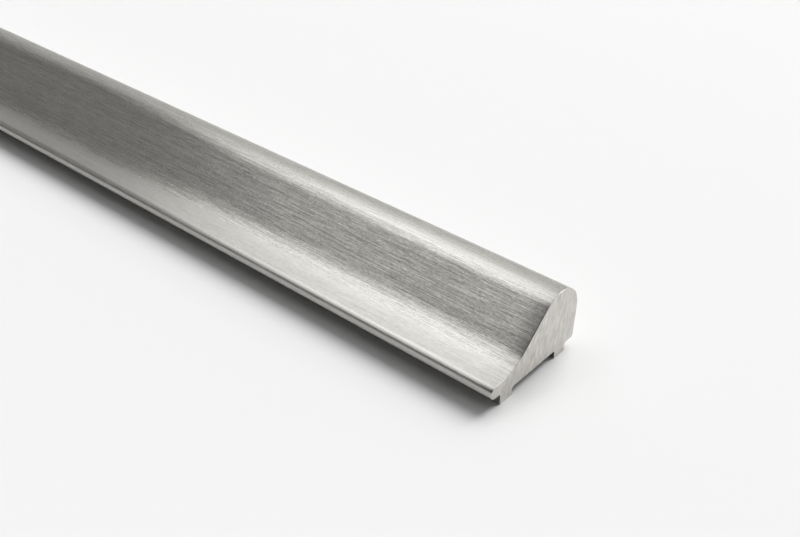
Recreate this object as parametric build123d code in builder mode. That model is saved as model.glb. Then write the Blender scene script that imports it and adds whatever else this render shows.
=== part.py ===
from build123d import *

import os
from math import asin, atan2, cos, degrees, radians, tan

# A length of solid extruded aluminium edge profile, sawn square at both ends.
# X runs along the bar, Y from the front lip to the back, Z up from the surface that the feet stand on.
# The origin lies under the middle of the bar. Lengths are in millimetres, angles in degrees.

# Overall sizes
LENGTH = 1000.0
WIDTH = 35.0  # tip of the lip to the back of the nose
HEIGHT = 20.4  # underside of the feet to the top of the nose

# Rounded nose along the back, and the back face that leans in below it
NOSE_RADIUS = 8.0
BACK_LEAN = 2.8

# Front lip, round-edged, with a nearly level ledge on top that turns up into the sloping face
LIP_THICKNESS = 3.7
LIP_CLEARANCE = 3.25  # underside of the lip above the feet
LEDGE_RUN = 9.4  # tip of the lip to the line where ledge and slope would meet
LEDGE_ANGLE = 2.3
COVE_RADIUS = 13.0

# Two feet, set in from the lip and from the back, with a shallow recess between them
LIP_OVERHANG = 3.8
FRONT_FOOT_WIDTH = 4.8
REAR_FOOT_WIDTH = 4.4
REAR_OVERHANG = 4.1
REAR_CLEARANCE = 2.35  # underside of the rear overhang above the feet
RECESS_DEPTH = 2.35

# Small rounds of the die, and the broken edge of the sawn ends
FOOT_EDGE_RADIUS = 0.4
INNER_CORNER_RADIUS = 0.6
BACK_EDGE_RADIUS = 1.1
END_DEBURR = 0.2

# The largest share of a wall that a round may take: with another round at the wall's far end, and alone on it
PAIRED_ROUND_SHARE = 0.45
LONE_ROUND_SHARE = 0.9


def heading(angle):
    """Unit vector in the section plane, turned from +Y towards +Z."""
    return Vector(1, 0).rotate(Axis.Z, angle)


def within(radius, turn, walls, share=PAIRED_ROUND_SHARE):
    """The radius, limited so that a round of that turn takes no more than its share of the walls it joins."""
    return min(radius, share * min(walls) / tan(radians(turn / 2)))


# Lip: a full round between its underside and the ledge
lip_radius = LIP_THICKNESS / 2
lip_tip = Vector(-WIDTH / 2, LIP_CLEARANCE + lip_radius)
lip_centre = lip_tip + Vector(lip_radius, 0)
lip_under = lip_centre + heading(-90) * lip_radius
ledge_start = lip_centre + heading(90 + LEDGE_ANGLE) * lip_radius

# Ledge: rises gently from the lip to the corner that the cove rounds
cove_y = lip_tip.X + LEDGE_RUN
ledge_end = Vector(cove_y, ledge_start.Y + (cove_y - ledge_start.X) * tan(radians(LEDGE_ANGLE)))

# Slope: from the end of the ledge, tangent to the nose
nose_centre = Vector(WIDTH / 2 - NOSE_RADIUS, HEIGHT - NOSE_RADIUS)
to_nose = nose_centre - ledge_end
slope_angle = degrees(atan2(to_nose.Y, to_nose.X) + asin(NOSE_RADIUS / to_nose.length))

# Nose: rounds the corner where the slope's line meets the back face's line
nose_turn = 90 + slope_angle + BACK_LEAN
nose_middle = heading((90 + slope_angle - BACK_LEAN) / 2)
nose_corner = nose_centre + nose_middle * (NOSE_RADIUS / cos(radians(nose_turn / 2)))
back_foot = Vector(nose_corner.X - (nose_corner.Y - REAR_CLEARANCE) * tan(radians(BACK_LEAN)), REAR_CLEARANCE)

# Feet
front_foot_start = -WIDTH / 2 + LIP_OVERHANG
front_foot_end = front_foot_start + FRONT_FOOT_WIDTH
rear_foot_end = WIDTH / 2 - REAR_OVERHANG
rear_foot_start = rear_foot_end - REAR_FOOT_WIDTH

# Rounds, each kept within its own walls
slope_run = (to_nose.length**2 - NOSE_RADIUS**2) ** 0.5
lip_under_run = front_foot_start - lip_under.X
rear_under_run = back_foot.X - rear_foot_end
cove_turn = slope_angle - LEDGE_ANGLE
cove_radius = within(COVE_RADIUS, cove_turn, [ledge_end.X - ledge_start.X, slope_run], LONE_ROUND_SHARE)
back_edge_radius = within(BACK_EDGE_RADIUS, 90, [rear_under_run])
rear_inner_radius = within(INNER_CORNER_RADIUS, 90, [rear_under_run, REAR_CLEARANCE])
lip_inner_radius = within(INNER_CORNER_RADIUS, 90, [lip_under_run, LIP_CLEARANCE])
recess_inner_radius = within(INNER_CORNER_RADIUS, 90, [RECESS_DEPTH])
front_edge_radius = within(FOOT_EDGE_RADIUS, 90, [FRONT_FOOT_WIDTH, LIP_CLEARANCE, RECESS_DEPTH])
rear_edge_radius = within(FOOT_EDGE_RADIUS, 90, [REAR_FOOT_WIDTH, REAR_CLEARANCE, RECESS_DEPTH])

# Sawn ends: the broken edge stays smaller than the smallest outside round that it runs over
outside_rounds = [back_edge_radius, front_edge_radius, rear_edge_radius]
end_deburr = within(END_DEBURR, 90, outside_rounds, LONE_ROUND_SHARE)

# Corners of the section after the lip, over the top and back along the underside, each with its round
rounded_corners = [
    (ledge_end, cove_radius),
    (nose_corner, NOSE_RADIUS),
    (back_foot, back_edge_radius),
    ((rear_foot_end, REAR_CLEARANCE), rear_inner_radius),
    ((rear_foot_end, 0), rear_edge_radius),
    ((rear_foot_start, 0), rear_edge_radius),
    ((rear_foot_start, RECESS_DEPTH), recess_inner_radius),
    ((front_foot_end, RECESS_DEPTH), recess_inner_radius),
    ((front_foot_end, 0), front_edge_radius),
    ((front_foot_start, 0), front_edge_radius),
    ((front_foot_start, LIP_CLEARANCE), lip_inner_radius),
]

# The bar: the section drawn across it, extruded both ways from the middle, with its sawn edges broken
with BuildPart() as profile_bar:
    with BuildSketch(Plane.YZ) as section:
        with BuildLine() as outline:
            FilletPolyline(
                ledge_start,
                *[corner for corner, radius in rounded_corners],
                lip_under,
                radius=[radius for corner, radius in rounded_corners],
            )
            ThreePointArc(lip_under, lip_tip, ledge_start)
        make_face()
    extrude(amount=LENGTH / 2, both=True)
    sawn_ends = profile_bar.faces().filter_by(Axis.X)
    chamfer(sawn_ends.edges(), length=end_deburr)

profile_bar.part.label = "profile_bar"
os.makedirs("parts", exist_ok=True)
export_step(profile_bar.part, "parts/profile_bar.step")
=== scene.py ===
"""A length of solid aluminium edge profile, brushed along its top and sawn square at its ends.

X runs along the bar, Y from its front lip to its rounded back, and Z up from the floor that its feet
stand on. Lengths are in metres. Angles are in degrees where they are given and in radians where
they are worked out.
"""

import logging
from dataclasses import dataclass, field, replace
from enum import Enum
from math import asin, atan2, ceil, copysign, cos, degrees, pi, radians, sin, tan
from typing import Any

import bpy
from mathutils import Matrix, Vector

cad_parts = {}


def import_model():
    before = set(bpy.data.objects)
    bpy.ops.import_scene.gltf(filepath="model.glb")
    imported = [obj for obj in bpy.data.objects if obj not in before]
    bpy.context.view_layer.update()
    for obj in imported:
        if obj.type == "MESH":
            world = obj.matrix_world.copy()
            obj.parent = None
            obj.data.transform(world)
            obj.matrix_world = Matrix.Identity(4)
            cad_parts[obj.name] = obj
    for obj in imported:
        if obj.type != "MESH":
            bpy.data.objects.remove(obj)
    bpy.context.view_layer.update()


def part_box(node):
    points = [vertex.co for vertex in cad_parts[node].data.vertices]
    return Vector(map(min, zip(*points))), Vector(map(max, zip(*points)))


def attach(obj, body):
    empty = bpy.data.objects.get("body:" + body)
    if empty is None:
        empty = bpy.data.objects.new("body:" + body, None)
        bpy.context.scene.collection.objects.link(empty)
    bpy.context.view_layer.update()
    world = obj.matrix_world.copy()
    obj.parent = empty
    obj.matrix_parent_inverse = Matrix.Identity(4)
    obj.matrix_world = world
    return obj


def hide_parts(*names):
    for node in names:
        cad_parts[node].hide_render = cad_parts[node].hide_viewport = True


LOG = logging.getLogger("edge_profile")

BAR_NODE = "profile_bar"
STRAIGHT_DOWN = 180.0

Colour = tuple[float, float, float]
Stops = tuple[tuple[float, float], ...]


class Zone(Enum):
    """The surfaces of the bar, numbered as its material slots."""

    BRUSHED = 0
    LIP_FRONT = 1
    SAWN = 2
    UNDERSIDE = 3
    # Painted shade on a narrow band of the lip.
    LIP_LINE = 4
    # Painted highlight on the lip's crest, the ledge and the start of the cove.
    LEDGE = 5


class NodeGraph:
    """A shader tree that is filled node by node."""

    def __init__(self, tree: bpy.types.NodeTree) -> None:
        """Empty the tree, ready for its nodes."""
        tree.nodes.clear()
        self.tree = tree

    def add(self, kind: str, inputs: dict[str | int, Any] | None = None, **settings: Any) -> bpy.types.Node:
        """Add one node.

        Args:
            kind: Blender's name for this kind of node.
            inputs: What goes into its sockets, each another node's output or a plain value.
            **settings: The node's own options.

        Returns:
            The new node.
        """
        node = self.tree.nodes.new(kind)
        for name, setting in settings.items():
            setattr(node, name, setting)
        for socket, value in (inputs or {}).items():
            if isinstance(value, bpy.types.NodeSocket):
                self.tree.links.new(value, node.inputs[socket])
            else:
                node.inputs[socket].default_value = value
        return node

    def math(self, operation: str, *values: Any) -> bpy.types.NodeSocket:
        """Work out one step of arithmetic on outputs or numbers."""
        return self.add("ShaderNodeMath", dict(enumerate(values)), operation=operation).outputs["Value"]

    def spread(
        self, value: Any, lowest: float, highest: float, start: Any, end: float
    ) -> bpy.types.NodeSocket:
        """Carry a value from one range over to another, and hold it at the ends.

        Args:
            value: The output to carry over.
            lowest: Where its own range begins.
            highest: Where its own range ends.
            start: What its lowest value becomes, plain or another node's output.
            end: What its highest value becomes.

        Returns:
            The carried value.
        """
        sockets = {"Value": value, "From Min": lowest, "From Max": highest, "To Min": start, "To Max": end}
        return self.add("ShaderNodeMapRange", sockets).outputs["Result"]

    def blend(self, share: Any, first: Any, second: Any) -> bpy.types.NodeSocket:
        """Mix two colours.

        Args:
            share: How much of the second colour there is, from 0 to 1.
            first: The colour at 0, plain or another node's output.
            second: The colour at 1, likewise.

        Returns:
            The mixed colour.
        """
        node = self.add("ShaderNodeMix", data_type="RGBA")
        sockets = {socket.identifier: socket for socket in node.inputs}
        for name, value in (("Factor_Float", share), ("A_Color", first), ("B_Color", second)):
            if isinstance(value, bpy.types.NodeSocket):
                self.tree.links.new(value, sockets[name])
            else:
                sockets[name].default_value = (*value, 1.0)
        return next(socket for socket in node.outputs if socket.identifier == "Result_Color")

    def ramp(self, value: Any, stops: Stops) -> bpy.types.NodeSocket:
        """Read a grey level from a ramp.

        Args:
            value: Where on the ramp to read, from 0 to 1.
            stops: Places on the ramp in rising order, each with its level.

        Returns:
            The level.
        """
        node = self.add("ShaderNodeValToRGB", {"Fac": value})
        elements = node.color_ramp.elements
        elements[0].position, elements[1].position = stops[0][0], stops[-1][0]
        for position, _ in stops[1:-1]:
            elements.new(position)
        for element, (_, level) in zip(elements, stops):
            element.color = (level, level, level, 1.0)
        return node.outputs["Color"]


@dataclass(frozen=True)
class Strokes:
    """Straight tool marks side by side, each with its own light and dark lengths."""

    width: float
    length: float
    share: float


@dataclass(frozen=True)
class MetalFinish:
    """Bare aluminium as one tool left it, with the marks along the mesh's grain map, and any painted light or
    shade.
    """

    name: str
    dark: Colour
    pale: Colour
    contrast: float
    smoothest: float
    roughest: float
    stretch: float
    tilt: float
    strokes: tuple[Strokes, ...]
    cloud_width: float
    cloud_length: float
    cloud_share: float
    waviness: float
    seed_step: float = 0.31
    longest_shift: float = 900.0
    stroke_detail: float = 1.0
    cloud_detail: float = 2.0
    grazing: Colour = (0.82, 0.82, 0.82)
    # Painted shade: a darker tone over the brushed colour by the sawn ends, most where the face slopes to the
    # front.
    painted_end_shade: Stops = ()
    end_shade_reach: float = 0.0055
    end_shade_slope: float = radians(40.0)
    painted_shade_tone: Colour = (0.08, 0.079, 0.076)
    end_shade_front: Stops = ((0.0, 0.0), (0.05, 0.1), (0.5, 0.22), (0.78, 0.4), (0.95, 1.0))
    # Painted highlight: a pale tone over the edge round by the sawn ends, where it faces up.
    highlight_lean: tuple[float, float] = (0.08, 0.4)
    painted_highlight_tone: Colour = (0.97, 0.962, 0.945)
    highlight_front: Stops = ((0.0, 1.0), (0.08, 1.0), (0.3, 0.0))

    def marks(
        self, graph: NodeGraph, across: bpy.types.NodeSocket, along: bpy.types.NodeSocket
    ) -> tuple[bpy.types.NodeSocket, bpy.types.NodeSocket, bpy.types.NodeSocket]:
        """Lay the sets of strokes over each other, and cloud them.

        Args:
            graph: The material's tree.
            across: The place across the grain, in metres.
            along: The place along the grain, in metres.

        Returns:
            How pale the metal is, around one half, how far its strokes lean across the grain, and how high
            its waves are in metres.
        """
        paleness: Any = 0.0
        lean: Any = 0.0
        for number, strokes in enumerate(self.strokes):
            line = graph.math("DIVIDE", across, strokes.width)
            seed = graph.math("ADD", graph.math("FLOOR", line), self.seed_step * (number + 1))
            chance = graph.add("ShaderNodeTexWhiteNoise", {"W": seed}, noise_dimensions="1D").outputs["Value"]
            begin = graph.math("MULTIPLY", chance, self.longest_shift)
            place = graph.math("MULTIPLY_ADD", along, 1.0 / strokes.length, begin)
            noise = graph.add(
                "ShaderNodeTexNoise",
                {"W": place, "Scale": 1.0, "Detail": self.stroke_detail},
                noise_dimensions="1D",
            ).outputs["Fac"]
            paleness = graph.math("MULTIPLY_ADD", noise, strokes.share, paleness)
            swing = graph.math("SUBTRACT", noise, 0.5)
            lean = graph.math("MULTIPLY_ADD", swing, self.tilt * strokes.share, lean)
        spot = graph.add(
            "ShaderNodeCombineXYZ",
            {
                "X": graph.math("DIVIDE", across, self.cloud_width),
                "Y": graph.math("DIVIDE", along, self.cloud_length),
            },
        ).outputs["Vector"]
        cloud = graph.add(
            "ShaderNodeTexNoise", {"Vector": spot, "Scale": 1.0, "Detail": self.cloud_detail}
        ).outputs["Fac"]
        paleness = graph.math("MULTIPLY_ADD", cloud, self.cloud_share, paleness)
        return paleness, lean, graph.math("MULTIPLY", cloud, self.waviness)

    def paint_end_shade_and_highlight(
        self, graph: NodeGraph, colour: bpy.types.NodeSocket, along: bpy.types.NodeSocket, half_length: float
    ) -> bpy.types.NodeSocket:
        """Paint shade beside the sawn ends, most where the face slopes to the front, and a highlight on their
        edge round.

        Args:
            graph: The material's tree.
            colour: The colour of the brushed metal.
            along: The place along the bar, in metres.
            half_length: Half the length of the bar.

        Returns:
            The colour with the painted shade and the painted highlight at its ends.
        """
        from_middle = graph.math("ABSOLUTE", along)
        close = graph.spread(from_middle, half_length - self.end_shade_reach, half_length, 0.0, 1.0)
        normal = graph.add("ShaderNodeNewGeometry").outputs["Normal"]
        facing = graph.add("ShaderNodeSeparateXYZ", {"Vector": normal}).outputs
        slope = graph.math("ARCTAN2", facing["Y"], facing["Z"])
        front = graph.spread(slope, 0.0, -self.end_shade_slope, 0.0, 1.0)
        # Painted shade, darker towards each sawn end and most where the face slopes to the front.
        painted_end_shade = graph.math("MULTIPLY", graph.ramp(close, self.painted_end_shade), graph.ramp(front, self.end_shade_front))
        # Painted highlight along the edge round where it faces up.
        edge = graph.spread(graph.math("ABSOLUTE", facing["X"]), *self.highlight_lean, 0.0, 1.0)
        painted_highlight = graph.math("MULTIPLY", edge, graph.ramp(front, self.highlight_front))
        return graph.blend(painted_highlight, graph.blend(painted_end_shade, colour, self.painted_shade_tone), self.painted_highlight_tone)

    def material(self, half_length: float) -> bpy.types.Material:
        """Make the finish as a material.

        Args:
            half_length: Half the length of the bar.

        Returns:
            The material.
        """
        material = bpy.data.materials.new(self.name)
        material.use_nodes = True
        graph = NodeGraph(material.node_tree)
        grain = graph.add("ShaderNodeUVMap", uv_map=ProfileBar.GRAIN_MAP).outputs["UV"]
        run = graph.add("ShaderNodeSeparateXYZ", {"Vector": grain}).outputs
        paleness, lean, waves = self.marks(graph, run["X"], run["Y"])
        level = graph.spread(paleness, 0.5 - self.contrast, 0.5 + self.contrast, 0.0, 1.0)
        colour = graph.blend(level, self.dark, self.pale)
        # Painted shade and a painted highlight by the sawn ends.
        if self.painted_end_shade:
            colour = self.paint_end_shade_and_highlight(graph, colour, run["Y"], half_length)
        tangent = graph.add(
            "ShaderNodeTangent", direction_type="UV_MAP", uv_map=ProfileBar.GRAIN_MAP
        ).outputs["Tangent"]
        upright = graph.add("ShaderNodeNewGeometry").outputs["Normal"]
        leaning = graph.add(
            "ShaderNodeVectorMath", {0: tangent, 1: lean, 2: upright}, operation="MULTIPLY_ADD"
        ).outputs["Vector"]
        struck = graph.add("ShaderNodeVectorMath", {0: leaning}, operation="NORMALIZE").outputs["Vector"]
        bump = graph.add("ShaderNodeBump", {"Height": waves, "Distance": 1.0, "Normal": struck})
        metal = graph.add(
            "ShaderNodeBsdfPrincipled",
            {
                "Base Color": colour,
                "Metallic": 1.0,
                "Roughness": graph.spread(level, 0.0, 1.0, self.smoothest, self.roughest),
                "Specular Tint": (*self.grazing, 1.0),
                "Anisotropic": self.stretch,
                "Tangent": tangent,
                "Normal": bump.outputs["Normal"],
            },
        )
        graph.add("ShaderNodeOutputMaterial", {"Surface": metal.outputs["BSDF"]})
        return material


BRUSHED = MetalFinish(
    name="brushed_aluminium",
    dark=(0.57, 0.56, 0.526),
    pale=(0.94, 0.924, 0.868),
    contrast=0.07,
    smoothest=0.28,
    roughest=0.31,
    stretch=0.95,
    tilt=0.75,
    strokes=(
        Strokes(0.00006, 0.0011, 0.24),
        Strokes(0.00006, 0.005, 0.26),
        Strokes(0.00007, 0.018, 0.25),
        Strokes(0.00009, 0.06, 0.21),
    ),
    cloud_width=0.0024,
    cloud_length=0.06,
    cloud_share=0.04,
    waviness=0.000008,
    # Painted shade by the sawn ends, deepest at the edge.
    painted_end_shade=(
        (0.0, 0.0), (0.1, 0.05), (0.27, 0.13), (0.45, 0.26),
        (0.64, 0.38), (0.82, 0.48), (0.91, 0.55), (0.96, 0.75),
    ),
)

MILL = MetalFinish(
    name="mill_aluminium",
    dark=(0.62, 0.613, 0.59),
    pale=(0.72, 0.712, 0.685),
    contrast=0.2,
    smoothest=0.48,
    roughest=0.56,
    stretch=0.6,
    tilt=0.1,
    strokes=(Strokes(0.0005, 0.2, 0.4), Strokes(0.0011, 0.5, 0.3)),
    cloud_width=0.003,
    cloud_length=0.08,
    cloud_share=0.3,
    waviness=0.00003,
)

# A lighter copy of the brushed finish, with its own roughness and brushing, on the lip's crest, the ledge and
# the start of the cove: its paler tone is a painted highlight.
LEDGE = replace(
    BRUSHED,
    name="ledge_painted_highlight_aluminium",
    dark=(0.73, 0.718, 0.68),
    pale=(0.99, 0.976, 0.93),
    smoothest=0.3,
    roughest=0.33,
    stretch=1.0,
    tilt=-0.7,
)

# A darker copy of the brushed finish on a narrow band of the lip: painted shade for the dark band that the
# lip mirrors.
SHADED_LIP_BAND = replace(BRUSHED, name="lip_band_painted_shade_aluminium", dark=(0.4, 0.393, 0.37), pale=(0.64, 0.63, 0.592))

# Mill finish under the bar, its roughness as extruded but its dark tone painted shade, which also deepens the
# shadow under the lip.
SHADED_UNDERSIDE = replace(
    MILL,
    name="underside_painted_shade_aluminium",
    dark=(0.3, 0.296, 0.286),
    pale=(0.4, 0.395, 0.38),
    smoothest=0.42,
    roughest=0.5,
)

SAWN = MetalFinish(
    name="sawn_aluminium",
    dark=(0.55, 0.533, 0.504),
    pale=(0.8, 0.776, 0.735),
    contrast=0.15,
    smoothest=0.38,
    roughest=0.5,
    stretch=0.5,
    tilt=0.2,
    strokes=(Strokes(0.0003, 0.0028, 0.42), Strokes(0.00042, 0.006, 0.42)),
    cloud_width=0.0018,
    cloud_length=0.006,
    cloud_share=0.16,
    waviness=0.00003,
)


@dataclass(frozen=True)
class OutlinePoint:
    """A point of the section's outline."""

    place: Vector
    normal: Vector
    zone: Zone
    run: float


@dataclass(frozen=True)
class Arc:
    """A round of the section, which turns clockwise where it is an outside round."""

    centre: Vector
    radius: float
    start: float
    turn: float
    zone: Zone

    def points(self, facet: float) -> list[tuple[Vector, Vector]]:
        """Divide the round into even facets.

        Args:
            facet: The most that one facet may turn.

        Returns:
            Each point with its outward normal, both ends included.
        """
        count = ceil(abs(self.turn) / facet)
        outward = -copysign(1.0, self.turn)
        made = []
        for number in range(count + 1):
            angle = self.start + self.turn * number / count
            spoke = Vector((cos(angle), sin(angle)))
            made.append((self.centre + spoke * self.radius, spoke * outward))
        return made

    def split(self, share: float, first: Zone) -> list["Arc"]:
        """Divide the round in two, so that its first part can belong to another zone.

        Args:
            share: How much of the turn the first part takes.
            first: The zone of the first part.

        Returns:
            Both parts in order.
        """
        part = self.turn * share
        rest = replace(self, start=self.start + part, turn=self.turn - part)
        return [replace(self, turn=part, zone=first), rest]


@dataclass
class Section:
    """The section that the die gives the bar, in the plane of Y and Z."""

    width: float
    height: float
    nose_radius: float = 0.008
    back_lean: float = 2.8
    lip_thickness: float = 0.0037
    lip_clearance: float = 0.00325
    ledge_run: float = 0.0094
    ledge_angle: float = 2.3
    cove_radius: float = 0.013
    lip_overhang: float = 0.0038
    front_foot_width: float = 0.0048
    rear_foot_width: float = 0.0044
    rear_overhang: float = 0.0041
    rear_clearance: float = 0.00235
    recess_depth: float = 0.00235
    foot_edge_radius: float = 0.0004
    inner_corner_radius: float = 0.0006
    back_edge_radius: float = 0.0011
    tucked_from: float = 138.0
    line_from: float = 63.0
    brushed_from: float = 47.0
    ledge_share: float = 0.33
    least_step: float = 0.000001
    facet: float = 3.0

    def arcs(self) -> list[Arc]:
        """Work out the rounds, from the lip over the top to the back and home along the underside.

        Returns:
            The rounds in order. A straight wall runs from each one to the next.
        """
        lip_radius = self.lip_thickness / 2
        lip_tip = Vector((-self.width / 2, self.lip_clearance + lip_radius))
        lip_centre = lip_tip + Vector((lip_radius, 0.0))
        rise = radians(self.ledge_angle)
        ledge_start = lip_centre + Vector((-sin(rise), cos(rise))) * lip_radius
        cove_y = lip_tip.x + self.ledge_run
        ledge_end = Vector((cove_y, ledge_start.y + (cove_y - ledge_start.x) * tan(rise)))

        nose_centre = Vector((self.width / 2 - self.nose_radius, self.height - self.nose_radius))
        to_nose = nose_centre - ledge_end
        slope = atan2(to_nose.y, to_nose.x) + asin(self.nose_radius / to_nose.length)
        lean = radians(self.back_lean)
        nose_turn = pi / 2 + slope + lean
        nose_middle = (pi / 2 + slope - lean) / 2
        reach = self.nose_radius / cos(nose_turn / 2)
        nose_corner = nose_centre + Vector((cos(nose_middle), sin(nose_middle))) * reach
        back_run = (nose_corner.y - self.rear_clearance) * tan(lean)
        back_foot = Vector((nose_corner.x - back_run, self.rear_clearance))

        front_start = -self.width / 2 + self.lip_overhang
        front_end = front_start + self.front_foot_width
        rear_end = self.width / 2 - self.rear_overhang
        rear_start = rear_end - self.rear_foot_width
        lip_under = Vector((lip_centre.x, self.lip_clearance))
        edge, inner = self.foot_edge_radius, self.inner_corner_radius
        corners = [
            (ledge_end, self.cove_radius, Zone.BRUSHED),
            (nose_corner, self.nose_radius, Zone.BRUSHED),
            (back_foot, self.back_edge_radius, Zone.BRUSHED),
            (Vector((rear_end, self.rear_clearance)), inner, Zone.UNDERSIDE),
            (Vector((rear_end, 0.0)), edge, Zone.UNDERSIDE),
            (Vector((rear_start, 0.0)), edge, Zone.UNDERSIDE),
            (Vector((rear_start, self.recess_depth)), inner, Zone.UNDERSIDE),
            (Vector((front_end, self.recess_depth)), inner, Zone.UNDERSIDE),
            (Vector((front_end, 0.0)), edge, Zone.UNDERSIDE),
            (Vector((front_start, 0.0)), edge, Zone.UNDERSIDE),
            (Vector((front_start, self.lip_clearance)), inner, Zone.UNDERSIDE),
        ]
        path = [ledge_start, *[corner for corner, _, _ in corners], lip_under]
        rounds = [
            self.round_corner(before, corner, after, radius, zone)
            for before, (corner, radius, zone), after in zip(path, corners, path[2:])
        ]
        lip = []
        facing = STRAIGHT_DOWN
        # Bands of the lip by the way they face: the line band carries painted shade, the ledge band a painted
        # highlight.
        ends = (
            (self.tucked_from, Zone.UNDERSIDE),
            (self.line_from, Zone.LIP_FRONT),
            (self.brushed_from, Zone.LIP_LINE),
            (self.ledge_angle, Zone.LEDGE),
        )
        for until, zone in ends:
            # The way that the lip faces is counted from straight up, and a round's own angle from Y.
            begin = radians(facing) - 1.5 * pi
            lip.append(Arc(lip_centre, lip_radius, begin, radians(until - facing), zone))
            facing = until
        # The first part of the cove joins the ledge zone and its painted highlight.
        cove, *others = rounds
        return lip + cove.split(self.ledge_share, Zone.LEDGE) + others

    @staticmethod
    def round_corner(before: Vector, corner: Vector, after: Vector, radius: float, zone: Zone) -> Arc:
        """Fit a round into a corner.

        Args:
            before: A point on the wall that leads to the corner.
            corner: Where the two walls would meet.
            after: A point on the wall that leads away.
            radius: The radius of the round.
            zone: The surface that the round and the wall before it belong to.

        Returns:
            The round, tangent to both walls.
        """
        towards, away = (corner - before).normalized(), (after - corner).normalized()
        turn = atan2(towards.x * away.y - towards.y * away.x, towards.dot(away))
        inward = Vector((-towards.y, towards.x)) * copysign(1.0, turn)
        begin = corner - towards * (radius * tan(abs(turn) / 2))
        return Arc(begin + inward * radius, radius, atan2(-inward.y, -inward.x), turn, zone)

    def outline(self) -> list[OutlinePoint]:
        """Divide the outline into points.

        Returns:
            The points, each with the zone of the stretch that leads to it.
        """
        made: list[OutlinePoint] = []
        run = 0.0
        for arc in self.arcs():
            for place, normal in arc.points(radians(self.facet)):
                step = (place - made[-1].place).length if made else 0.0
                if made and step < self.least_step:
                    continue
                run += step
                made.append(OutlinePoint(place, normal, arc.zone, run))
        return made


@dataclass
class ProfileBar:
    """The bar: its section drawn out along X, with the edge broken round both sawn ends."""

    GRAIN_MAP = "grain"

    section: Section
    length: float
    edge_round: float = 0.0002
    least_edge_round: float = 0.00005
    edge_steps: int = 4
    spans: int = 40
    filed_tilt: float = -8.0
    filed_spread: float = 30.0
    saw_lean: float = 12.0
    finishes: dict[Zone, MetalFinish] = field(
        default_factory=lambda: {
            Zone.BRUSHED: BRUSHED,
            Zone.LIP_FRONT: MILL,
            Zone.SAWN: SAWN,
            Zone.UNDERSIDE: SHADED_UNDERSIDE,
            Zone.LIP_LINE: SHADED_LIP_BAND,
            Zone.LEDGE: LEDGE,
        }
    )

    def edge_round_at(self, normal: Vector) -> float:
        """Work out how round the file has left the sawn edge, most along the ledge and the front of the nose.

        Args:
            normal: Which way the outline faces there.

        Returns:
            The radius of the edge.
        """
        away = abs(degrees(atan2(normal.x, normal.y)) - self.filed_tilt)
        share = max(0.0, 1.0 - away / self.filed_spread)
        return self.least_edge_round + (self.edge_round - self.least_edge_round) * share

    def stations(self) -> list[tuple[float, float, float]]:
        """Place the rings of the mesh along the bar.

        Returns:
            Each ring's place on X without the rounding of the edges, how far its normals lean towards an end,
            and the end that it belongs to: -1, 1, or 0 between them.
        """
        half = self.length / 2
        straight = half - 2 * self.edge_round
        quarter = [pi / 2 * step / self.edge_steps for step in range(self.edge_steps + 1)]
        plain = [(straight * (2 * number / self.spans - 1), 0.0, 0.0) for number in range(self.spans + 1)]
        return [(-half, a, -1.0) for a in reversed(quarter)] + plain + [(half, a, 1.0) for a in quarter]

    def build(self) -> bpy.types.Object:
        """Make the bar's mesh, with its normals and the map that its grain follows.

        Returns:
            The bar, in place and not yet dressed.
        """
        outline = self.section.outline()
        stations = self.stations()
        around = len(outline)
        rounds = [self.edge_round_at(point.normal) for point in outline]
        places, normals = [], []
        for x, lean, end in stations:
            for point, edge in zip(outline, rounds):
                drawn_in = point.place - point.normal * (edge * (1 - cos(lean)))
                places.append((x - end * edge * (1 - sin(lean)), drawn_in.x, drawn_in.y))
                normals.append((end * sin(lean), point.normal.x * cos(lean), point.normal.y * cos(lean)))
        closing_run = outline[-1].run + (outline[0].place - outline[-1].place).length

        faces, zones, shading, grain = [], [], [], []
        for ring in range(len(stations) - 1):
            near, far = ring * around, (ring + 1) * around
            for number, point in enumerate(outline):
                after = (number + 1) % around
                face = (near + number, far + number, far + after, near + after)
                end_run = outline[after].run if after else closing_run
                faces.append(face)
                zones.append(outline[after].zone if after else Zone.UNDERSIDE)
                shading.extend(normals[corner] for corner in face)
                runs = (point.run, point.run, end_run, end_run)
                grain.extend((run, places[corner][0]) for run, corner in zip(runs, face))
        first, last = list(range(around)), [(len(stations) - 1) * around + n for n in range(around)]
        for cap, facing in ((first, -1.0), (last[::-1], 1.0)):
            faces.append(tuple(cap))
            zones.append(Zone.SAWN)
            shading.extend([(facing, 0.0, 0.0)] * around)
            upright = [(places[corner][1], places[corner][2]) for corner in cap]
            grain.extend((y - z * tan(radians(self.saw_lean)), z) for y, z in upright)

        mesh = bpy.data.meshes.new("extruded_bar")
        mesh.from_pydata(places, [], faces)
        mesh.polygons.foreach_set("material_index", [zone.value for zone in zones])
        mesh.polygons.foreach_set("use_smooth", [True] * len(faces))
        grain_map = mesh.uv_layers.new(name=self.GRAIN_MAP)
        grain_map.data.foreach_set("uv", [value for pair in grain for value in pair])
        mesh.normals_split_custom_set(shading)
        mesh.validate()
        bar = bpy.data.objects.new("extruded_bar", mesh)
        bpy.context.scene.collection.objects.link(bar)
        return bar

    def dress(self, bar: bpy.types.Object) -> None:
        """Give each zone of the bar its finish.

        Args:
            bar: The bar, as built.
        """
        for zone in Zone:
            bar.data.materials.append(self.finishes[zone].material(self.length / 2))
        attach(bar, "root")
        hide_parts(BAR_NODE)


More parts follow.
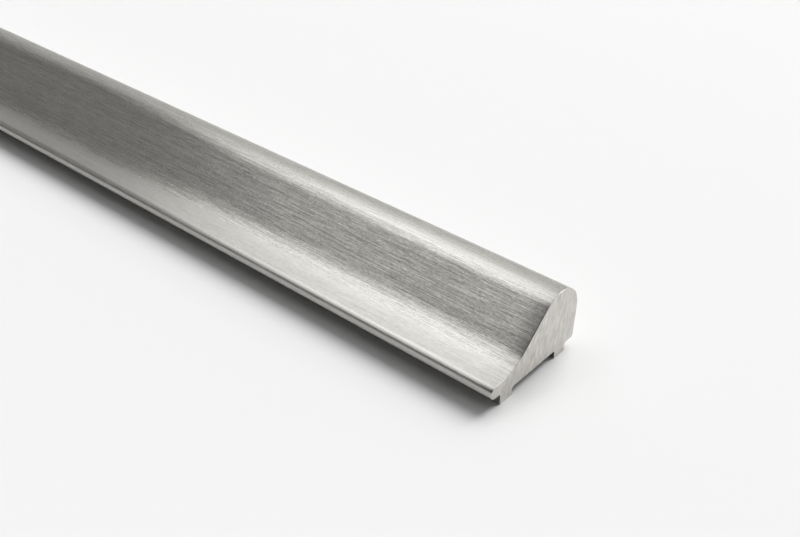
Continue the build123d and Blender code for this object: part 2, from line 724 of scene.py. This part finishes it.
@dataclass(frozen=True)
class Glow:
    """A pale part of the room.

    Its level over the turn runs from the horizon behind the bar, over the top, to the horizon in front of
    it, and across from the room's left wall to its right one. One that is in the metal only shows there,
    and leaves the floor and its shadow as they are.
    """

    name: str
    over: Stops
    across: Stops
    slant: float = 0.0
    in_metal_only: bool = False

    def level(
        self, graph: NodeGraph, turn: bpy.types.NodeSocket, side: bpy.types.NodeSocket
    ) -> bpy.types.NodeSocket:
        """Work out how bright this part is.

        Args:
            graph: The world's tree.
            turn: The way looked, from 0 behind the bar to 1 in front of it.
            side: The way looked, from 0 at the left to 1 at the right.

        Returns:
            The brightness.
        """
        slanted = graph.math("MULTIPLY_ADD", graph.math("SUBTRACT", 0.5, turn), self.slant, side)
        return graph.math("MULTIPLY", graph.ramp(turn, self.over), graph.ramp(slanted, self.across))


BACK_WALL = Glow(
    name="back wall",
    over=(
        (0.0, 0.5), (0.13, 0.55), (0.21, 0.54), (0.27, 0.48), (0.33, 0.34),
        (0.41, 0.18), (0.49, 0.08), (0.57, 0.02), (1.0, 0.01),
    ),
    across=((0.1, 1.05), (0.15, 1.05), (0.2, 1.0), (0.25, 1.04), (0.285, 0.99), (0.45, 0.7), (1.0, 0.6)),
)

LEFT_WALL = Glow(
    name="left wall",
    over=((0.41, 0.02), (0.49, 0.05), (0.57, 0.09), (0.7, 0.16), (0.85, 0.13), (1.0, 0.1)),
    across=((0.15, 1.0), (0.3, 0.3), (0.42, 0.0), (1.0, 0.0)),
)

SOFTBOX = Glow(
    name="softbox",
    over=(
        (0.2, 0.0), (0.28, 0.15), (0.33, 0.42), (0.385, 1.3), (0.56, 1.52),
        (0.6, 1.08), (0.64, 0.5), (0.68, 0.13), (0.73, 0.0),
    ),
    across=(
        (0.147, 0.0), (0.155, 0.4), (0.162, 0.65), (0.19, 0.8), (0.235, 1.0),
        (0.285, 1.0), (0.3, 0.9), (0.33, 0.5), (0.4, 0.08), (0.5, 0.0),
    ),
    slant=0.12,
)

RIGHT_WALL = Glow(
    name="right wall",
    over=(
        (0.0, 0.1), (0.15, 0.3), (0.25, 0.3), (0.33, 0.14),
        (0.5, 0.05), (0.75, 0.04), (0.9, 0.07), (1.0, 0.07),
    ),
    across=((0.45, 0.0), (0.6, 1.0), (1.0, 1.0)),
)

CEILING = Glow(
    name="ceiling",
    over=((0.38, 0.0), (0.44, 0.36), (0.54, 0.38), (0.74, 0.38), (0.93, 0.34), (1.0, 0.15)),
    across=((0.33, 0.0), (0.39, 1.0), (0.62, 1.0), (0.68, 0.0)),
    in_metal_only=True,
)

FAR_WALL = Glow(
    name="far wall",
    over=((0.0, 0.2), (0.4, 0.26), (0.6, 0.26), (1.0, 0.2)),
    across=((0.0, 1.0), (0.03, 1.0), (0.065, 0.0)),
    in_metal_only=True,
)

STRIP_LIGHT = Glow(
    name="strip light",
    over=((0.12, 0.0), (0.17, 2.4), (0.27, 2.4), (0.32, 0.0)),
    across=((0.5, 0.0), (0.54, 1.0), (0.66, 1.0), (0.7, 0.0)),
)

EDGE_LIGHT = Glow(
    name="edge light",
    over=((0.08, 0.0), (0.14, 2.4), (0.28, 2.4), (0.34, 0.0)),
    across=((0.63, 0.0), (0.68, 1.0), (0.76, 1.0), (0.81, 0.0)),
    in_metal_only=True,
)

END_WALL = Glow(
    name="end wall",
    over=((0.0, 0.3), (1.0, 0.3)),
    across=((0.88, 0.0), (0.95, 1.0), (1.0, 1.0)),
    in_metal_only=True,
)

FILL_BOX = Glow(
    name="fill box",
    over=((0.25, 0.0), (0.34, 0.7), (0.46, 0.7), (0.53, 0.4), (0.67, 0.34), (0.76, 0.0)),
    across=((0.6, 0.0), (0.68, 1.0), (0.86, 1.0), (0.93, 0.0)),
    in_metal_only=True,
)


@dataclass
class Studio:
    """A pale floor in a grey room, with a soft key from behind and the glows that the metal shows."""

    floor_size: float = 60.0
    floor_drop: float = 0.00001
    # The floor's two tones are painted shade: darker in front of the bar, lighter behind it.
    floor_front_shade: Colour = (0.87, 0.87, 0.868)
    floor_away: Colour = (0.92, 0.92, 0.918)
    floor_turn: tuple[float, float] = (0.0, 0.35)
    floor_roughness: float = 0.9
    floor_specular: float = 0.1
    key_from: tuple[float, float, float] = (0.0, 0.69, 0.724)
    key_strength: float = 2.85
    key_angle: float = 46.0
    glows: tuple[Glow, ...] = (
        BACK_WALL, LEFT_WALL, RIGHT_WALL, SOFTBOX, FILL_BOX,
        STRIP_LIGHT, CEILING, FAR_WALL, EDGE_LIGHT, END_WALL,
    )
    horizon_level: float = 0.93
    horizon_depth: float = 0.01

    def lay_floor(self) -> bpy.types.Object:
        """Lay the floor under the bar.

        Returns:
            The floor.
        """
        half = self.floor_size / 2
        corners = [(-half, -half, 0.0), (half, -half, 0.0), (half, half, 0.0), (-half, half, 0.0)]
        mesh = bpy.data.meshes.new("studio_floor")
        mesh.from_pydata(corners, [], [(0, 1, 2, 3)])
        material = bpy.data.materials.new("pale_floor")
        material.use_nodes = True
        graph = NodeGraph(material.node_tree)
        place = graph.add("ShaderNodeTexCoord").outputs["Object"]
        depth = graph.add("ShaderNodeSeparateXYZ", {"Vector": place}).outputs["Y"]
        # Painted shade on the floor, fading from the darker front tone to the lighter one behind the bar.
        away = graph.spread(depth, *self.floor_turn, 0.0, 1.0)
        paint = graph.add(
            "ShaderNodeBsdfPrincipled",
            {
                "Base Color": graph.blend(away, self.floor_front_shade, self.floor_away),
                "Roughness": self.floor_roughness,
                "Specular IOR Level": self.floor_specular,
            },
        )
        graph.add("ShaderNodeOutputMaterial", {"Surface": paint.outputs["BSDF"]})
        mesh.materials.append(material)
        floor = bpy.data.objects.new("studio_floor", mesh)
        floor.location.z = -self.floor_drop
        bpy.context.scene.collection.objects.link(floor)
        return floor

    def hang_key(self) -> bpy.types.Object:
        """Hang the broad key light behind the bar, to give the floor its shadow and the metal no glare.

        Returns:
            The lamp.
        """
        lamp = bpy.data.lights.new("key_light", "SUN")
        lamp.energy = self.key_strength
        lamp.angle = radians(self.key_angle)
        key = bpy.data.objects.new("key_light", lamp)
        key.rotation_euler = Vector(self.key_from).to_track_quat("Z", "Y").to_euler()
        key.visible_glossy = False
        bpy.context.scene.collection.objects.link(key)
        return key

    def light_room(self) -> bpy.types.World:
        """Light the room around the bar.

        Returns:
            The world.
        """
        world = bpy.data.worlds.new("studio_room")
        world.use_nodes = True
        graph = NodeGraph(world.node_tree)
        looking = graph.add("ShaderNodeTexCoord").outputs["Generated"]
        axes = graph.add("ShaderNodeSeparateXYZ", {"Vector": looking}).outputs
        turn = graph.math("DIVIDE", graph.math("ARCTAN2", axes["Z"], axes["Y"]), pi)
        side = graph.spread(axes["X"], -1.0, 1.0, 0.0, 1.0)
        path = graph.add("ShaderNodeLightPath").outputs
        room: Any = 0.0
        for glow in self.glows:
            level = glow.level(graph, turn, side)
            if glow.in_metal_only:
                level = graph.math("MULTIPLY", level, path["Is Glossy Ray"])
            room = graph.math("ADD", level, room)
            LOG.info("glow %s", glow.name)
        below = graph.spread(axes["Z"], -self.horizon_depth, 0.0, 1.0, 0.0)
        plain = graph.math("MAXIMUM", path["Is Camera Ray"], below)
        level = graph.spread(plain, 0.0, 1.0, room, self.horizon_level)
        light = graph.add("ShaderNodeBackground", {"Color": level, "Strength": 1.0})
        graph.add("ShaderNodeOutputWorld", {"Surface": light.outputs["Background"]})
        bpy.context.scene.world = world
        return world


@dataclass
class PhotoCamera:
    """A camera over the near end of the bar, looking down along it."""

    ahead: float = 0.10675
    aside: float = -0.17317
    above: float = 0.1722
    pitch: float = 34.884
    yaw: float = 40.879
    lens: float = 48.29
    sensor: float = 36.0
    nearest: float = 0.01
    farthest: float = 100.0

    def place(self, near_end: float) -> bpy.types.Object:
        """Set the camera up and make it the scene's own.

        Args:
            near_end: Where the bar's near end lies on X.

        Returns:
            The camera.
        """
        optics = bpy.data.cameras.new("photo_camera")
        optics.sensor_width, optics.lens = self.sensor, self.lens
        optics.clip_start, optics.clip_end = self.nearest, self.farthest
        camera = bpy.data.objects.new("photo_camera", optics)
        camera.location = (near_end + self.ahead, self.aside, self.above)
        camera.rotation_euler = (radians(90.0 - self.pitch), 0.0, radians(self.yaw))
        bpy.context.scene.collection.objects.link(camera)
        bpy.context.scene.camera = camera
        return camera


def main() -> None:
    """Load the frame, build and dress the bar, and set the stage round it."""
    logging.basicConfig(level=logging.INFO, format="%(name)s: %(message)s")
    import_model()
    lowest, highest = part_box(BAR_NODE)
    span = highest - lowest

    camera = PhotoCamera().place(highest.x)
    LOG.info("camera %s", camera.name)

    profile = ProfileBar(Section(span.y, span.z), span.x)
    bar = profile.build()
    profile.dress(bar)
    LOG.info("piece %s: %d faces", bar.name, len(bar.data.polygons))

    studio = Studio()
    for staged in (studio.lay_floor(), studio.hang_key(), studio.light_room()):
        LOG.info("stage %s", staged.name)

    bpy.context.scene.view_settings.view_transform = "Standard"


if __name__ == "__main__":
    main()
